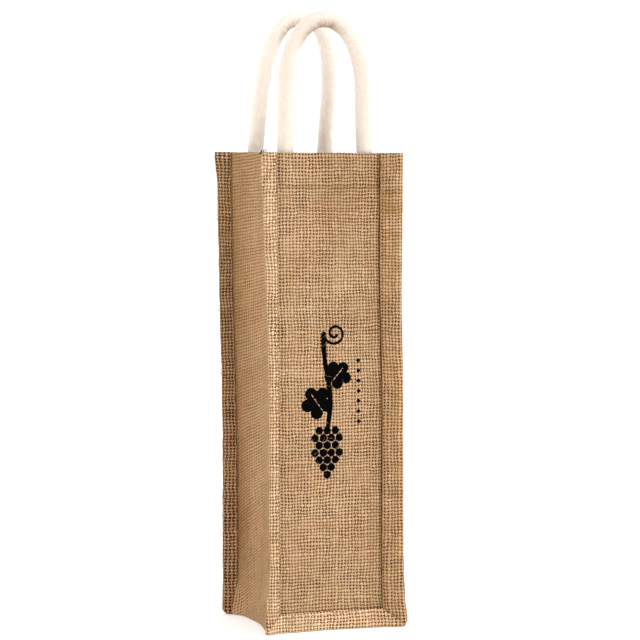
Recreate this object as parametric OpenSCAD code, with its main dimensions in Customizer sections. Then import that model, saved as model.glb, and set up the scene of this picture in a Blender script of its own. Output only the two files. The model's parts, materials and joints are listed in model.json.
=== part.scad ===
// One-bottle gift bag of woven jute with two padded cotton rope handles.
// The front faces -Y, +X is to the right of someone facing the front, and the floor is z = 0.

/* [Bag] */
// Width of the front and back panels between their side seams
panel_w = 80; // [70:1:110]
// Depth between the outer faces of the front and back panels
bag_d = 88; // [80:1:120]
// Height of the rim above the floor
bag_h = 350; // [280:5:400]
// Thickness of one layer of jute cloth
cloth_t = 1.2; // [0.8:0.1:1.4]

/* [Bound edges] */
// Width of the bound flange outside each side seam
flange_w = 16; // [12:1:20]
// Angle by which a side flange turns away from its panel
flare = 20; // [5:1:30]
// Height of the bound band along the bottom edge
foot_h = 14; // [10:1:18]
// Depth of the facing inside the rim
facing_h = 27; // [22:1:34]

/* [Handles] */
// Diameter of the rope
rope_d = 11.6; // [8:0.2:12]
// Distance between the two legs of a handle, centre to centre
leg_gap = 61.6; // [50:0.2:62]
// Length of the straight part of a leg above the rim
leg_h = 47; // [30:1:60]
// Height of the curved part of the loop
arch_h = 50; // [42:1:60]
// Radius of the rope's centre line at the top of the loop
crown_r = 24; // [20:1:28]
// Thickness of the braided cotton sleeve
sleeve_t = 2; // [1:0.1:3]
// Forward lean of the front handle
front_lean = 2; // [0:1:5]
// Forward lean of the back handle
back_lean = 11; // [0:1:12]

/* [Stitching] */
// Length of one stitch
stitch_l = 3.4; // [2:0.1:5]
// Distance from one stitch to the next
stitch_pitch = 7; // [6:0.5:12]

/* [Print] */
// Height of the middle of the grape bunch above the floor
bunch_z = 132; // [120:1:200]
// Diameter of one printed grape
grape_d = 5.8; // [4:0.1:6]

/* [Hidden] */
$fn = 48;

gap = 0.05;                                  // air between two layers of cloth
front_y = -bag_d / 2;                        // outer face of the front panel
panel_in_y = front_y + cloth_t;              // inner face of the front panel
facing_in_y = panel_in_y + gap + cloth_t;    // inner face of the front facing
gusset_x = panel_w / 2;                      // outer face of the right gusset
low_z = cloth_t + gap;                       // lower edge of cloth standing on the base
facing_z = bag_h - facing_h;                 // lower edge of the facings
layer_w = flange_w - cloth_t - gap;          // reach of a layer inside the binding
stack_v = 2 * cloth_t + gap;                 // outer faces of a folded binding from its seam

rope_r = rope_d / 2;
core_r = rope_r - sleeve_t;
rope_y = facing_in_y + gap + rope_r;         // centre line of the front handle
leg_x = leg_gap / 2;
hinge_gap = 0.3;                             // air between a handle's foot and its sewn end
hinge_z = bag_h + rope_r + hinge_gap + 0.9;  // axis about which a handle bends
arch_z = bag_h + leg_h - hinge_z;            // start of the arch above the hinge
side_r = (pow(arch_h - crown_r, 2) + pow(leg_x, 2) - pow(crown_r, 2)) / (2 * (leg_x - crown_r));
side_angle = asin((arch_h - crown_r) / (side_r - crown_r));

end_top_z = hinge_z - rope_r - hinge_gap;    // top of a sewn rope end
end_round_z = bag_h - 12;                    // where a sewn end begins to flatten
tab_w = 13;                                  // flattened tab at the foot of a sewn end
tab_t = 5;
tab_h = 7;
tab_z = facing_z + 1.5;

thread = 0.7;                                // width of a stitch
thread_t = 0.5;                              // height of a stitch above the cloth
binding_u = 0.8;                             // inner edge of a side limb from its seam
seam_inset = 2.6;                            // stitch line from that seam
ink_t = 0.2;

// ---------- placing ----------

// Both sides: the child as drawn for the right, and its mirror image.
module both_sides() {
    children();
    mirror([1, 0, 0]) children();
}

// The back of the bag is the mirror image of the front.
module at_back() {
    mirror([0, 1, 0]) children();
}

// Point of the front right flange, u outward from the seam and v in front of the seam.
function at_flange(u, v) = [
    gusset_x + u * cos(flare) - v * sin(flare),
    panel_in_y - u * sin(flare) - v * cos(flare)
];

// A layer of that flange from u0 to u1, between distances v0 and v1.
module flange_layer(u0, u1, v0, v1) {
    polygon([at_flange(u0, v0), at_flange(u1, v0), at_flange(u1, v1), at_flange(u0, v1)]);
}

function mirrored(points, by) =
    [for (i = [len(points) - 1 : -1 : 0]) [points[i][0] * by[0], points[i][1] * by[1]]];

// ---------- cloth ----------

// Front panel: a flat wall whose two edges turn forward into the bound flanges.
module panel_cloth() {
    right = [
        at_flange(0, 0), at_flange(layer_w, 0), at_flange(layer_w, cloth_t),
        at_flange(cloth_t * tan(flare / 2), cloth_t)
    ];
    translate([0, 0, low_z]) linear_extrude(bag_h - low_z)
        polygon(concat(right, mirrored(right, [-1, 1])));
}

// Right gusset: a flat wall whose two edges turn out into the bound flanges.
module gusset_cloth() {
    back_v = -cloth_t - gap;
    front = [
        [gusset_x - cloth_t, panel_in_y + gap], at_flange(0, -gap), at_flange(layer_w, -gap),
        at_flange(layer_w, back_v), at_flange(back_v * tan(flare), back_v)
    ];
    translate([0, 0, low_z]) linear_extrude(bag_h - low_z)
        polygon(concat(front, mirrored(front, [1, -1])));
}

// Front binding: two side limbs folded round the flanges, joined by a band along the bottom edge.
module binding() {
    back_v = -stack_v - gap;
    fold_u = flange_w - cloth_t;
    function bend(v) = at_flange(v * tan(flare / 2), v);
    limb = [
        at_flange(fold_u, cloth_t + gap), at_flange(fold_u, -cloth_t - 2 * gap),
        at_flange(binding_u, -cloth_t - 2 * gap), at_flange(binding_u, back_v),
        at_flange(flange_w, back_v), at_flange(flange_w, stack_v)
    ];
    limb_edge = [at_flange(binding_u, stack_v), at_flange(binding_u, cloth_t + gap)];
    band = concat([bend(cloth_t + gap)], limb, [bend(stack_v)]);
    sole = [
        at_flange(0, 0), at_flange(binding_u, 0), at_flange(binding_u, back_v),
        at_flange(flange_w, back_v), at_flange(flange_w, stack_v), bend(stack_v)
    ];
    linear_extrude(cloth_t) polygon(concat(sole, mirrored(sole, [-1, 1])));
    translate([0, 0, cloth_t]) linear_extrude(foot_h - cloth_t)
        polygon(concat(band, mirrored(band, [-1, 1])));
    translate([0, 0, foot_h]) linear_extrude(bag_h - foot_h)
        both_sides() polygon(concat(limb, limb_edge));
}

module facing() {
    half = gusset_x - cloth_t - gap;
    translate([-half, panel_in_y + gap, facing_z]) cube([2 * half, cloth_t, facing_h]);
}

module side_facing() {
    half = -facing_in_y - gap;
    translate([gusset_x - 2 * cloth_t - gap, -half, facing_z]) cube([cloth_t, 2 * half, facing_h]);
}

// ---------- handles ----------

// Cross-section of a rope of outer radius r1, hollow inside radius r0.
module ring(r1, r0) {
    difference() {
        circle(r1);
        if (r0 > 0) circle(r0);
    }
}

// The loop above its hinge: two legs, two side arcs and the crown.
module loop(r1, r0) {
    both_sides() {
        translate([leg_x, 0, 0]) linear_extrude(arch_z) ring(r1, r0);
        translate([leg_x - side_r, 0, arch_z]) rotate([90, 0, 0])
            rotate_extrude(angle = side_angle) translate([side_r, 0]) ring(r1, r0);
    }
    translate([0, 0, arch_z + arch_h - crown_r]) rotate([90, 0, 0]) rotate([0, 0, side_angle])
        rotate_extrude(angle = 180 - 2 * side_angle) translate([crown_r, 0]) ring(r1, r0);
}

// The rounded feet of both legs, centred on the hinge axis about which they turn.
module feet() {
    both_sides() translate([leg_x, 0, 0]) difference() {
        sphere(rope_r);
        translate([-rope_d, -rope_d, 0]) cube(2 * rope_d);
    }
}

module at_hinge(y, lean) {
    translate([0, y, hinge_z]) rotate([lean, 0, 0]) children();
}

module sleeve() {
    loop(rope_r, rope_r - sleeve_t);
    feet();
}

module core() {
    loop(core_r - 2 * gap, 0);
}

// The sewn end of the front right leg: round at the rim, flattened to a tab below.
module rope_end() {
    translate([leg_x, rope_y, end_round_z]) cylinder(r = rope_r, h = end_top_z - end_round_z);
    hull() {
        translate([leg_x, rope_y, end_round_z]) cylinder(r = rope_r, h = 0.4, $fn = 32);
        translate([leg_x - tab_w / 2, facing_in_y + gap, tab_z + tab_h - 0.4]) cube([tab_w, tab_t, 0.4]);
    }
    translate([leg_x - tab_w / 2, facing_in_y + gap, tab_z]) cube([tab_w, tab_t, tab_h]);
}

// ---------- stitching ----------

function count(length) = floor(length / stitch_pitch);
function place(i, length) = (i - (count(length) - 1) / 2) * stitch_pitch;

// A row of stitches along X lying on a face at y = 0, towards -Y.
module stitch_row(length) {
    for (i = [0 : count(length) - 1])
        translate([place(i, length) - stitch_l / 2, -thread_t, -thread / 2])
            cube([stitch_l, thread_t, thread]);
}

module binding_stitches() {
    run = bag_h - 2 * foot_h;
    both_sides() for (i = [0 : count(run) - 1])
        translate([0, 0, bag_h / 2 + place(i, run) - stitch_l / 2]) linear_extrude(stitch_l)
            flange_layer(seam_inset, seam_inset + thread, stack_v, stack_v + thread_t);
    translate([0, front_y - gap - cloth_t, foot_h - seam_inset]) stitch_row(panel_w - 2);
}

module rim_stitches() {
    translate([0, front_y, facing_z + 2]) stitch_row(panel_w - 4);
}

module side_rim_stitches() {
    translate([gusset_x, 0, facing_z + 2]) rotate([0, 0, 90]) stitch_row(bag_d - 10);
}

// Three bars of close stitches across both tabs of a handle.
module tab_stitches() {
    both_sides() for (row = [0 : 2])
        translate([leg_x - tab_w / 2 + 1, facing_in_y + gap + tab_t, tab_z + 0.8 + 2.2 * row])
            cube([tab_w - 2, thread_t, thread]);
}

// ---------- print ----------

// Centre lines of the stem and of the curled tendril, for s from 0 to 1.
function stem_point(s) = [2.5 * sin(300 * s), 66 * s];
function tendril_point(s) =
    let (r = 8.5 - 6.5 * s, a = 183 + 500 * s) [6.4 + r * cos(a), 0.2 + r * sin(a)];

// Unit normal of a path at its point i.
function path_normal(path, i) =
    let (d = path[min(i + 1, len(path) - 1)] - path[max(i - 1, 0)]) [-d[1], d[0]] / norm(d);

// A line of ink of width w along a path.
module ribbon(path, w) {
    last = len(path) - 1;
    polygon(concat(
        [for (i = [0 : last]) path[i] + path_normal(path, i) * w / 2],
        [for (i = [last : -1 : 0]) path[i] - path_normal(path, i) * w / 2]
    ));
}

module leaf(size) {
    polygon([for (a = [0 : 5 : 355])
        size * (0.62 + 0.38 * pow(abs(cos(2.5 * a)), 0.7)) * [sin(a), cos(a)]]);
}

module bunch() {
    rows = [1, 2, 3, 4, 3, 4, 3];
    for (i = [0 : len(rows) - 1], k = [0 : rows[i] - 1])
        translate([(k - (rows[i] - 1) / 2) * (grape_d + 0.4), (i - 3) * (grape_d - 0.4)])
            cylinder(d = grape_d, h = ink_t);
}

// A bunch of grapes under a leafy stem, and a row of small diamonds beside it.
module motif() {
    steps = 40;
    translate([-3.5, bunch_z]) {
        bunch();
        linear_extrude(ink_t) {
            translate([0, 17]) ribbon([for (i = [0 : steps]) stem_point(i / steps)], 2.8);
            translate([0, 83]) ribbon([for (i = [0 : steps]) tendril_point(i / steps)], 1.9);
            translate([-8.5, 37]) rotate(35) leaf(11.5);
            translate([9, 56]) rotate(-40) leaf(9.5);
        }
    }
    for (i = [0 : 6]) translate([25.5, bunch_z + 21 + 8.6 * i]) rotate(45)
        translate([-1.3, -1.3]) cube([2.6, 2.6, ink_t]);
}

// ---------- nodes ----------

module front_panel() { color("#BA9671") panel_cloth(); }
module back_panel() { color("#BA9671") at_back() panel_cloth(); }
module right_gusset() { color("#B08A63") gusset_cloth(); }
module left_gusset() { color("#B08A63") mirror([1, 0, 0]) gusset_cloth(); }

// Flat base whose front and back edges turn up behind the bottom bands.
module base_panel() {
    depth = -2 * (panel_in_y + gap);
    color("#A88159") translate([-gusset_x, -depth / 2, 0]) {
        cube([panel_w, depth, cloth_t]);
        for (y = [0, depth - cloth_t])
            translate([cloth_t + gap, y, 0]) cube([panel_w - 2 * (cloth_t + gap), cloth_t, foot_h]);
    }
}

module front_binding() { color("#C8A784") binding(); }
module back_binding() { color("#C8A784") at_back() binding(); }

module front_facing() { color("#AC8760") facing(); }
module back_facing() { color("#AC8760") at_back() facing(); }
module right_facing() { color("#AC8760") side_facing(); }
module left_facing() { color("#AC8760") mirror([1, 0, 0]) side_facing(); }

module front_handle_sleeve() { color("#F8EEDF") at_hinge(rope_y, front_lean) sleeve(); }
module front_handle_core() { color("#FFFFFF") at_hinge(rope_y, front_lean) core(); }
module back_handle_sleeve() { color("#F8EEDF") at_hinge(-rope_y, back_lean) sleeve(); }
module back_handle_core() { color("#FFFFFF") at_hinge(-rope_y, back_lean) core(); }

module front_handle_right_end() { color("#F4E8D6") rope_end(); }
module front_handle_left_end() { color("#F4E8D6") mirror([1, 0, 0]) rope_end(); }
module back_handle_right_end() { color("#F4E8D6") at_back() rope_end(); }
module back_handle_left_end() { color("#F4E8D6") rotate([0, 0, 180]) rope_end(); }

module front_handle_stitches() { color("#E8D9BE") tab_stitches(); }
module back_handle_stitches() { color("#E8D9BE") at_back() tab_stitches(); }
module front_binding_stitches() { color("#D8BE96") binding_stitches(); }
module back_binding_stitches() { color("#D8BE96") at_back() binding_stitches(); }
module front_rim_stitches() { color("#D8BE96") rim_stitches(); }
module back_rim_stitches() { color("#D8BE96") at_back() rim_stitches(); }
module right_rim_stitches() { color("#D8BE96") side_rim_stitches(); }
module left_rim_stitches() { color("#D8BE96") mirror([1, 0, 0]) side_rim_stitches(); }

module printed_motif() {
    color("#141210") translate([0, front_y, 0]) rotate([90, 0, 0]) motif();
}

front_panel();
back_panel();
left_gusset();
right_gusset();
base_panel();
front_binding();
back_binding();
front_facing();
back_facing();
left_facing();
right_facing();
front_handle_sleeve();
front_handle_core();
back_handle_sleeve();
back_handle_core();
front_handle_left_end();
front_handle_right_end();
back_handle_left_end();
back_handle_right_end();
front_handle_stitches();
back_handle_stitches();
front_binding_stitches();
back_binding_stitches();
front_rim_stitches();
back_rim_stitches();
left_rim_stitches();
right_rim_stitches();
printed_motif();
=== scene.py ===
"""One-bottle gift bag of woven jute with two padded cotton rope handles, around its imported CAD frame.

Lengths are in metres. The front faces -Y, +X is to the right of someone facing it, z = 0 is the floor.
"""
import json
import math

import bpy
import numpy as np
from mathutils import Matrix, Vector


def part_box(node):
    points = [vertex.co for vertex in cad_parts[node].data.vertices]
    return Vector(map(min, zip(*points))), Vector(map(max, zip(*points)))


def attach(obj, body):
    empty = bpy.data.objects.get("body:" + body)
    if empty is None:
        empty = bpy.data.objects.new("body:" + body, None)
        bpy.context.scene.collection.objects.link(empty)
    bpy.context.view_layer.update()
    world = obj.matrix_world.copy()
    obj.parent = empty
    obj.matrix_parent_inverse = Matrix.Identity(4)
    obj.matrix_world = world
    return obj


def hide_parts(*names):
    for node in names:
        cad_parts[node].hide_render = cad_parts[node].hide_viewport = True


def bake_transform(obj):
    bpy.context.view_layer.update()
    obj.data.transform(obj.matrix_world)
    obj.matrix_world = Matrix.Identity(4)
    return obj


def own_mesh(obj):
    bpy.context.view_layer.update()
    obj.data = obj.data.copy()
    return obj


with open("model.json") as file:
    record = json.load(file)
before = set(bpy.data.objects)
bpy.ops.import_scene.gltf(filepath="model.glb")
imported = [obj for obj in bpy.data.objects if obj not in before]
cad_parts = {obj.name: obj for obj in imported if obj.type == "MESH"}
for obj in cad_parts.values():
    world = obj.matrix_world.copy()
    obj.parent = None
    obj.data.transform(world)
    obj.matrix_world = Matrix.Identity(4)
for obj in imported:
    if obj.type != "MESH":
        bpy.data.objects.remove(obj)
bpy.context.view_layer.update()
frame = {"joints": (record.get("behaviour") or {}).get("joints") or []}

MM = 0.001

# ---------- sizes read from the frame ----------

BASE_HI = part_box("base_panel")[1]
FACING_LO, FACING_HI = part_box("left_facing")
PANEL_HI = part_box("front_panel")[1]
END_LO, END_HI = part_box("front_handle_right_end")
JOINTS = {joint["name"]: joint for joint in frame["joints"]}

CLOTH = FACING_HI[0] - FACING_LO[0]          # thickness of one layer
HALF_W = BASE_HI[0]                          # outer face of a gusset
IN_Y = -PANEL_HI[1]                          # inner face of the front or back panel, from the middle
HALF_D = IN_Y + CLOTH                        # their outer face
HEIGHT = PANEL_HI[2]
FOOT_H = BASE_HI[2]                          # height of the bottom band
FACING_Z = FACING_LO[2]                      # lower edge of the facings
STITCH_Z = FACING_Z + 2 * MM                 # height of the stitch line under the rim
ROPE_R = (END_HI[1] - END_LO[1]) / 2
TAB_Z = END_LO[2]                            # lower end of the ropes
ROPE_Y = -JOINTS["front_handle_bend"]["pos_m"][1]  # middle of a rope at the rim
HINGE_Z = JOINTS["front_handle_bend"]["pos_m"][2]

# ---------- looks ----------

PITCH = 2.42 * MM                            # distance between two jute yarns
STEP = PITCH / 4                             # mesh spacing of the visible side of a cloth
BACK_STEP = 2.2 * MM                         # and of its hidden side
RELIEF = 0.8 * MM                            # depth of the holes between yarns
WEAVE_LEVEL = 0.7                            # share of a weave's height that lies under the cloth's surface
FLARE = math.radians(20)                     # angle between a flange and its panel's plane
FLANGE_W = 16 * MM                           # width of a flange from its seam to its edge
HEM_R = 1.22 * MM                            # radius of the fold at the rim
SLANT = 0.55                                 # slope of the gussets' weft at the floor, less towards the rim
SEAM_GAP = 0.5 * MM                          # from a side seam to a binding's edge
STRIP = 0.9 * MM                             # thickness of the strips of the bindings and facings
FOOT_R = 1.3 * MM                            # radius of the bottom band's fold under the foot
CORNER_R = 4.5 * MM                          # rounding of a binding's bottom corners
CUT = 0.04                                   # what is left of the weave beyond a mitre, tucked along it
RIB_PITCH = 1.9 * MM                         # distance between the ribs of a rope's sleeve


# ---------- helpers ----------

def smooth(x, low, high):
    """0 at low, 1 at high, constant outside them, and a soft step between."""
    t = np.clip((x - low) / (high - low), 0, 1)
    return t * t * (3 - 2 * t)


def waves(x, y, seed, size, count=7):
    """Soft random waves of about that size, mostly between -1 and 1."""
    rng = np.random.default_rng(seed)
    total = np.zeros(np.broadcast(x, y).shape)
    for _ in range(count):
        angle, phase = rng.uniform(0, 2 * math.pi, 2)
        k = 2 * math.pi / (size * rng.uniform(0.7, 1.7))
        total += np.sin(k * (x * math.cos(angle) + y * math.sin(angle)) + phase)
    return total / math.sqrt(2 * count)


def hump(x, width):
    """1 at x = 0, falling off softly to both sides over about that width."""
    return np.exp(-(x / width) ** 2)


def weave_height(s, t):
    """Height of a plain weave, 0 in the holes to 1 on top of a yarn; yarns run at whole s and whole t."""
    i, j = np.round(s), np.round(t)
    warp = np.cos(np.pi * (s - i)) ** 2 * (0.62 + 0.38 * np.cos(np.pi * t) * np.cos(np.pi * i))
    weft = np.cos(np.pi * (t - j)) ** 2 * (0.62 - 0.38 * np.cos(np.pi * s) * np.cos(np.pi * j))
    return np.maximum(warp, weft)


def yarn_coordinates(u, v, seed, slant=0.0):
    """Places in yarns instead of metres, with the small wander that hand-loomed jute has."""
    v = v - u * slant * (1 - 0.88 * smooth(v, 0, HEIGHT))
    s = u + 0.6 * MM * waves(u, v, seed, 45 * MM) + 0.33 * MM * waves(u, v, seed + 2, 10 * MM)
    t = v + 0.6 * MM * waves(u, v, seed + 1, 45 * MM) + 0.33 * MM * waves(u, v, seed + 3, 10 * MM)
    return s / PITCH, t / PITCH


def normals(points):
    """Unit normals of a grid of points, along du x dv."""
    n = np.cross(np.gradient(points, axis=0), np.gradient(points, axis=1))
    return n / np.maximum(np.linalg.norm(n, axis=2, keepdims=True), 1e-12)


def steps(start, stop, size):
    """Even stations from start to stop, about size apart."""
    return np.linspace(start, stop, max(2, int(round(abs(stop - start) / size)) + 1))


def new_object(name, verts, polygons, material, corner_uv=None, tone=None, slack=True):
    """A smooth mesh object from arrays: polygons is a list of (n, 3) or (n, 4) index arrays.

    corner_uv holds the yarn coordinates of each polygon corner, and tone a lighter or darker share of the
    material's colour at each vertex, mostly painted light and shade. slack is for what follows the limp cloth
    of the standing bag.
    """
    mesh = bpy.data.meshes.new(name)
    loops = np.concatenate([p.ravel() for p in polygons])
    counts = np.concatenate([np.full(len(p), p.shape[1]) for p in polygons])
    mesh.vertices.add(len(verts))
    mesh.vertices.foreach_set("co", settled(verts, slack).astype(np.float32).ravel())
    mesh.loops.add(len(loops))
    mesh.loops.foreach_set("vertex_index", loops.astype(np.int32))
    mesh.polygons.add(len(counts))
    mesh.polygons.foreach_set("loop_start", (np.cumsum(counts) - counts).astype(np.int32))
    mesh.polygons.foreach_set("use_smooth", np.ones(len(counts), bool))
    if corner_uv is not None:
        uv = mesh.uv_layers.new(name="Yarns")
        uv.data.foreach_set("uv", np.asarray(corner_uv, np.float32).ravel())
        tones = mesh.attributes.new("Tone", "FLOAT", "POINT")
        tones.data.foreach_set("value", tone.astype(np.float32))
    mesh.update(calc_edges=True)
    mesh.validate()
    mesh.materials.append(material)
    obj = bpy.data.objects.new(name, mesh)
    bpy.context.scene.collection.objects.link(obj)
    return obj


def settled(points, slack):
    """The way the empty bag stands: its foot spread to the right, its left side slack, its back taller.

    How far each point moves is in mm, and the heights between which it does so are in metres.
    """
    x, y, z = np.array(points, float).T
    right = np.clip((x + HALF_W) / (2 * HALF_W), 0, 1.3)
    spread = 2.2 * smooth(z, 0.27, 0.16) - 1.5 * smooth(z, 0.12, 0.02) + 1.0 * smooth(z, 0.022, 0.004)
    moved = x + right * spread * MM
    if not slack:
        return np.stack([moved, y, z], axis=1)
    left = np.clip(-x / HALF_W, 0, 1.3)
    back = np.clip((y + IN_Y) / (2 * IN_Y), -0.1, 1.1)
    moved = moved - left * (1 - back) * 2.2 * MM * smooth(z, 0.5 * HEIGHT, HEIGHT)
    moved = moved - left * back * 4.5 * MM * smooth(z, 0.08, 0.33)
    forward = 4.0 * MM * np.clip(x / HALF_W, 0, 1.35) * (1 - back) * smooth(z, 0.12, 0)
    raised = 1.4 * MM * back * smooth(z, 0.6 * HEIGHT, HEIGHT)
    return np.stack([moved, y - forward, np.maximum(z + raised, 0.1 * MM)], axis=1)


def zip_edges(a, b):
    """Triangles between two rows of vertices that run side by side, each evenly spaced."""
    triangles, i, j = [], 0, 0
    while i < len(a) - 1 or j < len(b) - 1:
        a_next = (i + 1) / (len(a) - 1) if i < len(a) - 1 else 2
        b_next = (j + 1) / (len(b) - 1) if j < len(b) - 1 else 2
        if a_next <= b_next:
            triangles.append((a[i], a[i + 1], b[j]))
            i += 1
        else:
            triangles.append((a[i], b[j + 1], b[j]))
            j += 1
    return np.array(triangles)


class Cloth:
    """A closed layer of cloth collected from grids: a fine visible side and a coarse hidden side."""

    def __init__(self):
        self.verts, self.uvs, self.tones, self.polygons, self.count = [], [], [], [], 0

    def add_grid(self, points, s, t, flip=False, tone=1.0):
        nu, nv = points.shape[:2]
        self.tones.append(np.broadcast_to(tone, (nu, nv)).ravel())
        self.verts.append(points.reshape(-1, 3))
        self.uvs.append(np.stack([s, t], axis=-1).reshape(-1, 2))
        index = self.count + np.arange(nu * nv).reshape(nu, nv)
        quads = np.stack([index[:-1, :-1], index[1:, :-1], index[1:, 1:], index[:-1, 1:]], axis=-1)
        quads = quads.reshape(-1, 4)
        self.polygons.append(quads[:, ::-1] if flip else quads)
        self.count += nu * nv
        return index

    def add_layer(self, fine, s, t, tone, coarse, cs, ct):
        """Fine grid facing along du x dv, closed by a coarse grid behind it over the same outline."""
        a = self.add_grid(fine, s, t, tone=tone)
        b = self.add_grid(coarse, cs, ct, flip=True)
        for edge_a, edge_b in ((a[:, 0], b[:, 0]), (a[-1], b[-1])):
            self.polygons.append(zip_edges(edge_a, edge_b)[:, ::-1])
        for edge_a, edge_b in ((a[:, -1], b[:, -1]), (a[0], b[0])):
            self.polygons.append(zip_edges(edge_a, edge_b))

    def make(self, name, material):
        verts, uvs = np.concatenate(self.verts), np.concatenate(self.uvs)
        corner = np.concatenate([p.ravel() for p in self.polygons])
        return new_object(name, verts, self.polygons, material, uvs[corner], np.concatenate(self.tones))


def woven_layer(cloth, place, u_range, v_range, seed, thickness=CLOTH, fine=STEP,
                relief=lambda u, v: RELIEF, slant=0.0, tone=lambda u, v: 1.0):
    """Adds a layer whose visible side is place(u, v, 0) and whose hidden side is place(u, v, thickness).

    The visible side is raised and lowered by the weave, along its own normals.
    """
    u, v = np.meshgrid(steps(*u_range, fine), steps(*v_range, fine), indexing="ij")
    s, t = yarn_coordinates(u, v, seed, slant)
    plain = place(u, v, 0.0)
    shown = plain + normals(plain) * ((weave_height(s, t) - WEAVE_LEVEL) * relief(u, v))[..., None]
    cu, cv = np.meshgrid(steps(*u_range, BACK_STEP), steps(*v_range, BACK_STEP), indexing="ij")
    cs, ct = yarn_coordinates(cu, cv, seed, slant)
    cloth.add_layer(shown, s, t, tone(u, v), place(cu, cv, thickness), cs, ct)
    return shown, u, v


# ---------- materials ----------

class Nodes:
    """Short hand for a material's node tree."""

    def __init__(self, tree):
        self.tree = tree

    def add(self, kind, **settings):
        node = self.tree.nodes.new(kind)
        for key, value in settings.items():
            setattr(node, key, value)
        return node

    def link(self, source, target):
        if isinstance(source, bpy.types.NodeSocket):
            self.tree.links.new(source, target)
        else:
            target.default_value = source

    def math(self, operation, a, b=0.0, c=0.0, clamp=False):
        node = self.add("ShaderNodeMath", operation=operation, use_clamp=clamp)
        for value, socket in zip((a, b, c), node.inputs):
            self.link(value, socket)
        return node.outputs[0]

    def between(self, value, low, high, to_low=0.0, to_high=1.0):
        node = self.add("ShaderNodeMapRange", interpolation_type="SMOOTHSTEP")
        for socket, x in zip(node.inputs, (value, low, high, to_low, to_high)):
            self.link(x, socket)
        return node.outputs[0]

    def mix(self, share, a, b, kind="MIX"):
        node = self.add("ShaderNodeMix", data_type="RGBA", blend_type=kind)
        self.link(share, node.inputs[0])
        self.link(a, node.inputs[6])
        self.link(b, node.inputs[7])
        return node.outputs[2]

    def pick(self, share, a, b):
        """Number a where share is 0, b where it is 1."""
        node = self.add("ShaderNodeMix", data_type="FLOAT")
        for value, socket in zip((share, a, b), (node.inputs[0], node.inputs[2], node.inputs[3])):
            self.link(value, socket)
        return node.outputs[0]

    def noise(self, vector, scale, detail=2.0, rough=0.5):
        node = self.add("ShaderNodeTexNoise")
        self.link(vector, node.inputs["Vector"])
        node.inputs["Scale"].default_value = scale
        node.inputs["Detail"].default_value = detail
        node.inputs["Roughness"].default_value = rough
        return node.outputs[0]

    def vector(self, x, y, z=0.0):
        node = self.add("ShaderNodeCombineXYZ")
        for value, socket in zip((x, y, z), node.inputs):
            self.link(value, socket)
        return node.outputs[0]

    def random(self, value, seed):
        node = self.add("ShaderNodeTexWhiteNoise", noise_dimensions="2D")
        self.link(self.vector(value, seed), node.inputs["Vector"])
        return node.outputs["Value"]

    def yarns(self):
        return self.add("ShaderNodeUVMap", uv_map="Yarns").outputs[0]

    def tone(self):
        return self.add("ShaderNodeAttribute", attribute_name="Tone").outputs["Fac"]

    def bump(self, shader, height, strength, distance):
        node = self.add("ShaderNodeBump")
        node.inputs["Strength"].default_value = strength
        node.inputs["Distance"].default_value = distance
        self.link(height, node.inputs["Height"])
        self.link(node.outputs[0], shader.inputs["Normal"])


def rgb(r, g, b):
    """Linear colour from sRGB values of 0 to 255."""
    def linear(c):
        c /= 255
        return c / 12.92 if c <= 0.04045 else ((c + 0.055) / 1.055) ** 2.4
    return (linear(r), linear(g), linear(b), 1.0)


def new_material(name, roughness, sheen=0.0, specular=0.25):
    material = bpy.data.materials.new(name)
    material.use_nodes = True
    shader = material.node_tree.nodes["Principled BSDF"]
    shader.inputs["Roughness"].default_value = roughness
    shader.inputs["Sheen Weight"].default_value = sheen
    shader.inputs["Specular IOR Level"].default_value = specular
    return material, Nodes(material.node_tree), shader


def yarn_pattern(n, bed, width_low, width_high):
    """A plain weave at each point: its height, whether the warp is on top, and the warp's and the weft's
    own (height, yarn number, place along the yarn, place across it)."""
    split = n.add("ShaderNodeSeparateXYZ")
    n.link(n.yarns(), split.inputs[0])
    s, t = split.outputs[0], split.outputs[1]
    sides = []
    for here, other, sign in ((s, t, 1.0), (t, s, -1.0)):
        number = n.math("FLOOR", n.math("ADD", here, 0.5))
        offset = n.math("SUBTRACT", here, number)
        parity = n.math("COSINE", n.math("MULTIPLY", number, math.pi))
        over = n.math("COSINE", n.math("MULTIPLY", other, math.pi))
        over = n.math("MULTIPLY", n.math("MULTIPLY", over, parity), sign)
        slub = n.noise(n.vector(n.math("MULTIPLY", number, 7.31), n.math("MULTIPLY", other, 0.16)), 1.0, 3.0)
        width = n.between(slub, 0.3, 0.7, width_low, width_high)
        width = n.math("MULTIPLY", width, n.math("MULTIPLY_ADD", n.random(number, 5.0 + sign), 0.26, 0.87))
        across = n.math("DIVIDE", offset, width)
        profile = n.math("SUBTRACT", 1.0, n.math("MULTIPLY", across, across), clamp=True)
        profile = n.math("SQRT", profile)
        height = n.math("MULTIPLY", profile, n.math("MULTIPLY_ADD", over, 1 - bed, bed))
        sides.append((height, number, other, offset))
    warp, weft = sides
    top = n.math("GREATER_THAN", warp[0], weft[0])
    return n.math("MAXIMUM", warp[0], weft[0]), top, warp, weft


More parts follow.
